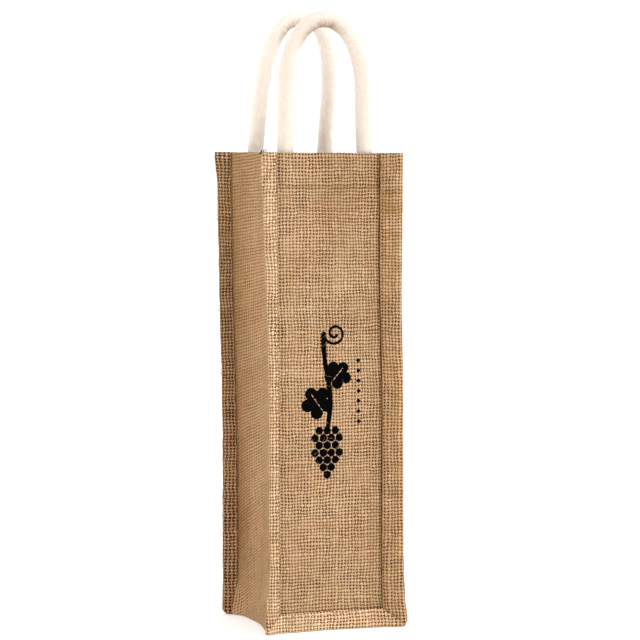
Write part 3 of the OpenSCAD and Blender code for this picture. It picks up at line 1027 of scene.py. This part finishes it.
def tube_object(name, points, uv, wrap_uv, material, tone):
    """Closed smooth tube from rings of points, the last index running along it.

    uv grows by wrap_uv in going once round it.
    """
    nu, nv = points.shape[:2]
    index = np.arange(nu * nv).reshape(nu, nv)
    up = np.roll(index, -1, axis=0)
    quads = np.stack([index[:, :-1], up[:, :-1], up[:, 1:], index[:, 1:]], axis=-1).reshape(-1, 4)
    uv = np.concatenate([uv, uv[:1] + np.array(wrap_uv, float)])
    corner = np.stack([uv[:-1, :-1], uv[1:, :-1], uv[1:, 1:], uv[:-1, 1:]], axis=2).reshape(-1, 2)
    n = nu * nv
    verts = np.concatenate([points.reshape(-1, 3), [points[:, 0].mean(axis=0), points[:, -1].mean(axis=0)]])
    low, high = index[:, 0], index[:, -1]
    cap_low = np.stack([np.roll(low, -1), low, np.full(nu, n)], axis=1)
    cap_high = np.stack([high, np.roll(high, -1), np.full(nu, n + 1)], axis=1)
    corner = np.concatenate([corner, np.zeros((6 * nu, 2))])
    tone = np.concatenate([np.broadcast_to(tone, (nu, nv)).ravel(), [1.0, 1.0]])
    return new_object(name, verts, [quads, cap_low, cap_high], material, corner, tone, slack=False)


def faces_outward(points):
    """Whether a tube's rings turn so that its faces look outward."""
    a, b, c = points[0, 0], points[1, 0], points[0, 1]
    return np.dot(np.cross(b - a, c - a), a - points[:, 0].mean(axis=0)) > 0


def make_sleeve(where, seed):
    """Cotton sleeve with slanting ribs, round above the rim and flattened where it is sewn inside."""
    line = RopeLine(where, TAB_Z, 0.42 * MM)
    rows = line.rows
    turns, strands, columns = 10, 32, 96     # ribs and strands met in one round, points in each ring
    ring, row = np.meshgrid(np.arange(columns) / columns * 2 * math.pi, np.arange(len(rows)), indexing="ij")
    slack = 0.35 * waves(rows, 0 * rows, seed + 5, 30 * MM)
    a = turns * ring / (2 * math.pi) + rows[row] / RIB_PITCH + slack[row]
    b = strands * ring / (2 * math.pi) - rows[row] / (7 * MM)
    uneven = 1 + 0.018 * waves(rows, 0 * rows, seed + 3, 40 * MM)
    relief = (weave_height(a, b) - WEAVE_LEVEL) * 0.4 * MM + PROUD
    lumps = waves(4 * MM * np.cos(ring), rows[row] + 3 * MM * np.sin(ring), seed + 8, 9 * MM)
    relief = relief + 0.12 * MM * lumps
    inner = np.clip((0.3 - np.cos(ring)) / 1.3, 0, 1) ** 1.4
    crown = smooth(line.z, line.z.max() - 25 * MM, line.z.max() - 7 * MM) * smooth(line.x, 20 * MM, 0)
    pleat = waves(rows, 0 * rows, seed + 11, 2.6 * MM)[row]
    pleat = pleat + 0.5 * waves(rows[row], 5 * MM * ring, seed + 12, 4 * MM)
    relief = relief + 0.22 * MM * inner * crown[row] * pleat
    # painted shade: the front rope a little darker all over, and the inner side of each crown's bend much
    # darker, broken up by its pleats
    painted_shade_base = 0.87 if where == "front" else 1.0
    tone = painted_shade_base - 0.85 * inner * crown[row] * np.clip(0.9 - 0.25 * pleat, 0, 1)
    wide = ROPE_R * uneven + 0.3 * MM * line.flat
    points = line.tube(ring, wide[row] + relief, (line.thick * uneven)[row] + relief)
    uv, wrap = np.stack([a, b], axis=-1), (turns, strands)
    if not faces_outward(points):
        points, uv, wrap, tone = points[::-1], uv[::-1], (-turns, -strands), tone[::-1]
    return tube_object(where.capitalize() + "_rope_sleeve", points, uv, wrap, COTTON, tone), line


def make_core(where):
    """Padding inside the sleeve: three loose cords laid round each other."""
    line = RopeLine(where, HINGE_Z + 9 * MM, 1.5 * MM)
    ring, row = np.meshgrid(np.arange(36) / 36 * 2 * math.pi, np.arange(len(line.rows)), indexing="ij")
    turn = 3 * ring + line.rows[row] / (3.2 * MM)
    radius = 3.3 * MM + 0.5 * MM * np.abs(np.cos(turn / 2))
    points = line.tube(ring, radius, radius)
    if not faces_outward(points):
        points = points[::-1]
    uv = np.stack([ring, line.rows[row] / MM], axis=-1)
    return tube_object(where.capitalize() + "_rope_padding", points, uv, (0, 0), PADDING, 1.0)


class Threads:
    """Many short tubes in one mesh: stitches or loose fibres."""

    def __init__(self):
        self.verts, self.polygons, self.count = [], [], 0

    def add(self, path, radius, sides=6):
        """One thread along a path of points, thinner at its two ends."""
        tangent = np.gradient(path, axis=0)
        tangent /= np.maximum(np.linalg.norm(tangent, axis=1, keepdims=True), 1e-12)
        helper = np.array([0.31, 0.83, 0.47]) if abs(tangent[0][2]) > 0.9 else np.array([0.05, 0.1, 1.0])
        side = np.cross(tangent, helper)
        side /= np.linalg.norm(side, axis=1, keepdims=True)
        over = np.cross(tangent, side)
        n = len(path)
        size = np.full(n, radius)
        size[0] = size[-1] = radius * 0.35
        angle = (np.arange(sides) / sides * 2 * math.pi)[:, None, None]
        ring = path[None] + (np.cos(angle) * side + np.sin(angle) * over) * size[None, :, None]
        index = self.count + np.arange(sides * n).reshape(sides, n)
        up = np.roll(index, -1, axis=0)
        quads = np.stack([index[:, 1:], up[:, 1:], up[:, :-1], index[:, :-1]], axis=-1).reshape(-1, 4)
        low = self.count + sides * n
        self.verts.append(np.concatenate([ring.reshape(-1, 3), path[:1], path[-1:]]))
        self.polygons.append(quads[:, ::-1])
        self.polygons.append(np.stack([up[:, 0], index[:, 0], np.full(sides, low)], axis=1))
        self.polygons.append(np.stack([index[:, -1], up[:, -1], np.full(sides, low + 1)], axis=1))
        self.count = low + 2

    def stitch(self, start, end, out, radius=0.3 * MM, rise=0.22 * MM, dive=0.7 * MM):
        """One stitch lying on the cloth between two points, its ends pulled into it along -out."""
        share = np.linspace(0, 1, 8)[:, None]
        lift = rise - (rise + dive) * (2 * share - 1) ** 8
        self.add(np.asarray(start) * (1 - share) + np.asarray(end) * share + np.asarray(out) * lift, radius)

    def make(self, name, material, slack=True):
        return new_object(name, np.concatenate(self.verts), self.polygons, material, slack=slack)


def on_cloth(place, u, v):
    """Point and outward normal of a cloth's visible side."""
    near = 0.2 * MM
    p = place(np.array([[u, u + near, u]]), np.array([[v, v, v + near]]), 0.0)[0]
    n = np.cross(p[1] - p[0], p[2] - p[0])
    return p[0], n / max(np.linalg.norm(n), 1e-12)


STITCH, SPACING = 3.6 * MM, 5.2 * MM         # length of a stitch, and from one to the next
SEAM_INSET = 2.1 * MM                        # from a binding's edge to its line of stitches


def sew(threads, place, line, length, seed):
    """Stitches along line(a), in a cloth's own u and v, for a from 0 to length."""
    rng = np.random.default_rng(seed)
    count = int(length / SPACING)
    for i in range(count):
        middle = (i + 0.5) * length / count + rng.uniform(-0.3, 0.3) * MM
        size = STITCH * rng.uniform(0.85, 1.1) / 2
        skew = rng.uniform(-0.15, 0.15, 2) * MM
        (ua, va), (ub, vb) = line(middle - size), line(middle + size)
        if ua == ub:                         # a line up the cloth stays straight
            skew = 0 * skew
        start, out = on_cloth(place, ua, va + skew[0])
        threads.stitch(start, on_cloth(place, ub, vb + skew[1])[0], out)


def make_rope_stitches(where, line):
    """Bars of close zigzag stitches that hold the flattened rope ends to the facing."""
    threads = Threads()
    half = len(line.rows) // 2
    face = line.sign * (WALL_Y - 2 * ROPE_R * 0.38 - 0.3 * MM)
    reach = ROPE_R - 0.5 * MM
    for end in (slice(None, half - 1, -1), slice(0, half)):
        for row in range(4):
            z = TAB_Z + (1.4 + 2.0 * row) * MM
            x0 = np.interp(z, line.z[end], line.x[end])
            x = x0 + np.linspace(-reach, reach, 9)
            y = face + line.sign * 0.9 * MM * (np.abs(x - x0) / reach) ** 3
            for a in range(8):
                up = 0.75 * MM * (1 if a % 2 else -1)
                threads.stitch((x[a], y[a], z - up / 2), (x[a + 1], y[a + 1], z + up / 2), (0, -line.sign, 0),
                               0.26 * MM, 0.2 * MM, 0.35 * MM)
    return threads.make(where.capitalize() + "_rope_end_stitches", COTTON_THREAD, slack=False)


for where, seed in (("front", 201), ("back", 231)):
    body = where + "_side"
    sleeve, line = make_sleeve(where, seed)
    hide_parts(where + "_handle_sleeve", where + "_handle_left_end", where + "_handle_right_end")
    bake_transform(sleeve)
    core = make_core(where)
    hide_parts(where + "_handle_core")
    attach(core, where + "_handle")
    stitches = make_rope_stitches(where, line)
    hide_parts(where + "_handle_stitches")
    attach(stitches, body)

# ---------- stitches in the cloth ----------

for where, sign, seed in (("front", -1, 31), ("back", 1, 41)):
    threads = Threads()
    for side in (-1, 1):
        place, total = outward_limb(side, sign)
        across = total - SEAM_INSET if side * sign > 0 else SEAM_INSET
        sew(threads, place, lambda a: (across, FOOT_H + a), HEIGHT - FOOT_H - 3 * MM, seed + side)
    sew(threads, outward_band(sign), lambda a: (a - HALF_W + 2 * MM, BAND_HEIGHT - 2.3 * MM),
        2 * HALF_W - 4 * MM, seed + 5)
    stitches = threads.make(where.capitalize() + "_binding_seam", THREAD)
    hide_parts(where + "_binding_stitches")
    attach(stitches, where + "_side")
    threads = Threads()
    sew(threads, panel_place(sign), lambda a: (a - HALF_W + 1 * MM, STITCH_Z - CLOTH),
        2 * HALF_W - 2 * MM, seed + 6)
    stitches = threads.make(where.capitalize() + "_rim_seam", THREAD)
    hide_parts(where + "_rim_stitches")
    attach(stitches, where + "_side")

for where, side in (("left", -1), ("right", 1)):
    threads = Threads()
    place, total = gusset_place(side)
    sew(threads, place, lambda a: (a + 6 * MM, STITCH_Z - GUSSET_START), total - 12 * MM, 61 + side)
    stitches = threads.make(where.capitalize() + "_rim_seam", THREAD)
    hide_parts(where + "_rim_stitches")
    folds(stitches)

# ---------- the print ----------

# The print is drawn in mm, across from the middle of the panel and up from the floor.
BUNCH = (-3.5, 131.0)                        # middle of the grape bunch
GRAPE_R, STEM_R, TENDRIL_R = 2.9, 1.8, 0.95
LEAVES = ((-7.8, 37, 35, 12.2), (8.4, 57, -40, 10.6))  # across and up from BUNCH, turn in degrees, size


def to_path(x, z, path):
    """Distance from points to a polyline."""
    best = np.full(x.shape, 1e9)
    for (ax, az), (bx, bz) in zip(path[:-1], path[1:]):
        dx, dz = bx - ax, bz - az
        share = np.clip(((x - ax) * dx + (z - az) * dz) / (dx * dx + dz * dz), 0, 1)
        best = np.minimum(best, np.hypot(x - ax - share * dx, z - az - share * dz))
    return best


def printed(x, z):
    """Signed distance in mm to the print: a grape bunch, its leafy stem, a tendril and a row of diamonds."""
    cx, cz = BUNCH
    shapes = []
    for i, row in enumerate((1, 2, 3, 4, 3, 4, 3)):
        for k in range(row):
            gx, gz = cx + (k - (row - 1) / 2) * 6.2, cz + (i - 3) * 5.4
            shapes.append(np.hypot(x - gx, z - gz) - GRAPE_R)
    share = np.linspace(0, 1, 41)
    stem = np.stack([cx + 2.5 * np.sin(np.radians(300 * share)), cz + 17 + 70 * share], axis=1)
    shapes.append(to_path(x, z, stem) - STEM_R)
    radius, angle = 8.5 - 6.5 * share, np.radians(183 + 500 * share)
    tendril = np.stack([cx + 6.4 + radius * np.cos(angle), cz + 87.2 + radius * np.sin(angle)], axis=1)
    shapes.append(to_path(x, z, tendril) - TENDRIL_R)
    for lx, lz, turn, size in LEAVES:
        turn = math.radians(turn)
        dx, dz = x - cx - lx, z - cz - lz
        lobes = size * (0.62 + 0.38 * np.abs(np.cos(2.5 * (np.arctan2(-dx, dz) - turn))) ** 0.7)
        leaf = (np.hypot(dx, dz) - lobes) * 0.8
        vein_x = dx * math.cos(turn) + dz * math.sin(turn)
        vein_z = -dx * math.sin(turn) + dz * math.cos(turn)
        vein = np.where(np.abs(vein_z) < 0.6 * size, 0.3 - np.abs(vein_x), -1)
        shapes.append(np.maximum(leaf, vein))
    for i in range(7):
        shapes.append((np.abs(x - 21.0) + np.abs(z - cz - 22 - 7.5 * i) - 1.85) * 0.7)
    return np.min(shapes, axis=0) + 0.12 * waves(x, z, 401, 3.0) + 0.06 * waves(x, z, 402, 1.1)


def finer(grid):
    """A grid with a point added between every two."""
    for _ in range(2):
        out = np.empty((2 * len(grid) - 1, *grid.shape[1:]))
        out[::2], out[1::2] = grid, (grid[:-1] + grid[1:]) / 2
        grid = out.swapaxes(0, 1)
    return grid


def make_print():
    """Skin of ink cut from the front panel's own weave along the print's outline."""
    height = FRONT_V[0] + CLOTH
    rows = np.where((height > 108 * MM) & (height < 232 * MM))[0]
    columns = np.where(np.abs(FRONT_U[:, 0]) < 31 * MM)[0]
    part = (slice(columns[0], columns[-1] + 1), slice(rows[0], rows[-1] + 1))
    points, u, v = finer(FRONT_GRID[part]), finer(FRONT_U[part]), finer(FRONT_V[part])
    field = printed(u / MM, (v + CLOTH) / MM)
    out = normals(points)
    verts, index = [], {}

    def vertex(a, b, share):
        """Index of the vertex at that share of the way from grid point a to b, made once."""
        key = (min(a, b), max(a, b))
        if key not in index:
            index[key] = len(verts)
            verts.append((points[a] + share * (points[b] - points[a]), out[a]))
        return index[key]

    polygons = []
    dark = field < 0
    some = dark[:-1, :-1] | dark[1:, :-1] | dark[1:, 1:] | dark[:-1, 1:]
    for i, j in zip(*np.nonzero(some)):
        ring = [(i, j), (i + 1, j), (i + 1, j + 1), (i, j + 1)]
        face = []
        for a, b in zip(ring, ring[1:] + ring[:1]):
            if dark[a]:
                face.append(vertex(a, a, 0.0))
            if dark[a] != dark[b]:
                face.append(vertex(a, b, field[a] / (field[a] - field[b])))
        polygons += [(face[0], face[k], face[k + 1]) for k in range(1, len(face) - 1)]
    base, lift = (np.array(column) for column in zip(*verts))
    top, count = np.array(polygons), len(base)
    edges = dict.fromkeys(edge for face in polygons for edge in zip(face, face[1:] + face[:1]))
    rim = np.array([(b, a, a + count, b + count) for a, b in edges if (b, a) not in edges])
    skin = np.concatenate([base + 0.07 * MM * lift, base - 0.12 * MM * lift])
    return new_object("Printed_vine", skin, [top, top[:, ::-1] + count, rim[:, [1, 0, 3, 2]]], INK)


PRINT = make_print()
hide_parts("printed_motif")
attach(PRINT, "front_side")

# ---------- loose fibres ----------


def fuzz(threads, place, u_range, v_range, count, seed, proud=1.0):
    """Jute hairs that leave the cloth, most lying close to it and a few standing off."""
    rng = np.random.default_rng(seed)
    for _ in range(count):
        u, v = rng.uniform(*u_range), rng.uniform(*v_range)
        p, n = on_cloth(place, u, v)
        along = np.cross(n, rng.normal(size=3))
        along /= np.linalg.norm(along)
        aside = np.cross(n, along)
        length = rng.uniform(2.5, 7.5) * MM
        height = proud * MM * (rng.uniform(0.3, 0.9) if rng.random() < 0.8 else rng.uniform(0.8, 1.8))
        curl = rng.uniform(-0.35, 0.35) * length
        share = np.linspace(0, 1, 7)[:, None]
        rise = np.sin(math.pi * share) if rng.random() < 0.6 else share ** 1.3
        path = p + along * length * share + aside * curl * share ** 2
        path = path + n * (height * rise - 0.25 * MM * (1 - share))
        threads.add(path, rng.uniform(0.045, 0.085) * MM, 3)


for where, sign, seed in (("front", -1, 501), ("back", 1, 511)):
    threads = Threads()
    fuzz(threads, panel_place(sign), (-HALF_W + 2 * MM, HALF_W - 2 * MM), (FOOT_H, HEIGHT - 2 * MM),
         260, seed)
    for side in (-1, 1):
        place, total = outward_limb(side, sign)
        fuzz(threads, place, (2 * MM, total - 2 * MM), (6 * MM, HEIGHT - 1 * MM), 190, seed + 2 + side)
    fuzz(threads, outward_band(sign), (-HALF_W, HALF_W), (BAND_HEIGHT * 0.45, BAND_HEIGHT - 1 * MM),
         60, seed + 6)
    hairs = threads.make(where.capitalize() + "_loose_fibres", FIBRE)
    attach(hairs, where + "_side")

for where, side in (("left", -1), ("right", 1)):
    threads = Threads()
    place, total = gusset_place(side)
    fuzz(threads, place, (8 * MM, total - 8 * MM), (6 * MM, HEIGHT - 2 * MM), 200, 531 + side, 0.7)
    hairs = threads.make(where.capitalize() + "_loose_fibres", FIBRE)
    folds(hairs)

# a few dark ends stand up from the front left corner of the rim
frayed = Threads()
rng = np.random.default_rng(551)
RIM = np.array(HEIGHT)
tip_x, tip_y = at_seam(flange_width(RIM, -1, -1), 0.0, flange_flare(RIM, -1, -1))
for _ in range(6):
    start = (-tip_x + rng.uniform(-2.6, 1.0) * MM, tip_y + rng.uniform(0, 2.0) * MM, HEIGHT - 1.5 * MM)
    reach = np.array([rng.uniform(0.6, 2.4), rng.uniform(-1.0, 1.0), rng.uniform(2.2, 4.2)]) * MM
    share = np.linspace(0, 1, 8)[:, None]
    sway = np.array([rng.uniform(-1, 1), rng.uniform(-1, 1), 0]) * 0.4 * MM * np.sin(math.pi * share)
    frayed.add(start + reach * share + sway, rng.uniform(0.2, 0.3) * MM, 5)
ends = frayed.make("Frayed_corner_ends", DARK_FIBRE)
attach(ends, "front_side")

# ---------- the cloth pieces, listed with their flat sizes ---

# name, flat size, flat area where it isn't their product, how it is held, and what it lies on
SHEETS = [
    ("Base_cloth", (2 * (HALF_W - CLOTH), 2 * IN_Y + 2 * FOOT_H - 4 * MM), None, "laid",
     ["Front_panel_cloth", "Back_panel_cloth"]),
]
for where, sign in (("Front", -1), ("Back", 1)):
    panel = where + "_panel_cloth"
    limbs = [limb_length(side, sign) for side in (-1, 1)]
    area = HEIGHT * sum(limbs) + 2 * BAND_HALF * BAND_HEIGHT
    SHEETS += [
        (panel, (2 * (HALF_W + FLANGE_W), hem_length(0)), None, "stretched", ["Base_cloth"]),
        (where + "_binding_cloth", (max(limbs), 2 * HEIGHT + 2 * BAND_HALF), area, "folded", [panel]),
        (where + "_facing_cloth", (2 * (HALF_W - CLOTH), HEIGHT - FACING_Z), None, "folded", [panel]),
    ]
for where in ("Left", "Right"):
    gusset = where + "_gusset_cloth"
    SHEETS += [
        (gusset, (gusset_place(1)[1], hem_length(0)), None, "hung",
         ["Front_panel_cloth", "Back_panel_cloth"]),
        (where + "_facing_cloth", (2 * IN_Y, HEIGHT - FACING_Z), None, "folded", [gusset]),
    ]

# ---------- floor, light and camera ----------

white, _, shader = new_material("Floor_white", 0.95)
shader.inputs["Base Color"].default_value = rgb(254, 254, 254)
shader.inputs["Emission Color"].default_value = rgb(254, 254, 254)
shader.inputs["Emission Strength"].default_value = 0.16  # keeps the bag's shadow on it faint
bpy.ops.mesh.primitive_plane_add(size=60, location=(0, 0, -0.0003))
floor = bpy.context.object
floor.name = "Floor"
floor.data.materials.append(white)


def area_light(name, location, target, size, power, colour=(1, 1, 1)):
    data = bpy.data.lights.new(name, "AREA")
    data.shape = "RECTANGLE"
    data.size, data.size_y = size
    data.energy = power
    data.color = colour
    light = bpy.data.objects.new(name, data)
    light.location = location
    light.rotation_euler = (Vector(target) - Vector(location)).to_track_quat("-Z", "Y").to_euler()
    bpy.context.scene.collection.objects.link(light)


area_light("Key", (2.7, -1.7, 2.3), (0, 0, 0.25), (1.2, 1.2), 62, (1.0, 0.985, 0.96))
area_light("Fill", (-2.6, -1.8, 1.4), (0, 0, 0.2), (2.0, 2.0), 22)

world = bpy.data.worlds.new("Studio")
world.use_nodes = True
world.node_tree.nodes["Background"].inputs[0].default_value = (1, 1, 1, 1)
world.node_tree.nodes["Background"].inputs[1].default_value = 1.17
bpy.context.scene.world = world
bpy.context.scene.view_settings.view_transform = "Standard"

CAMERA_AZIMUTH = math.radians(-21.81)
CAMERA_DISTANCE = 1.737
CAMERA_HEIGHT = 0.3216
CAMERA_PITCH = 0.0551                        # radians below the horizon
CAMERA_AIM_RIGHT = 0.00537265                # radians to the right of the bag's axis
camera_data = bpy.data.cameras.new("Camera")
camera_data.sensor_width = 36
camera_data.lens = 130.87125                 # mm
camera = bpy.data.objects.new("Camera", camera_data)
camera.location = (
    CAMERA_DISTANCE * math.sin(CAMERA_AZIMUTH),
    -CAMERA_DISTANCE * math.cos(CAMERA_AZIMUTH),
    CAMERA_HEIGHT,
)
camera.rotation_euler = (math.pi / 2 - CAMERA_PITCH, 0, CAMERA_AZIMUTH - CAMERA_AIM_RIGHT)
bpy.context.scene.collection.objects.link(camera)
bpy.context.scene.camera = camera
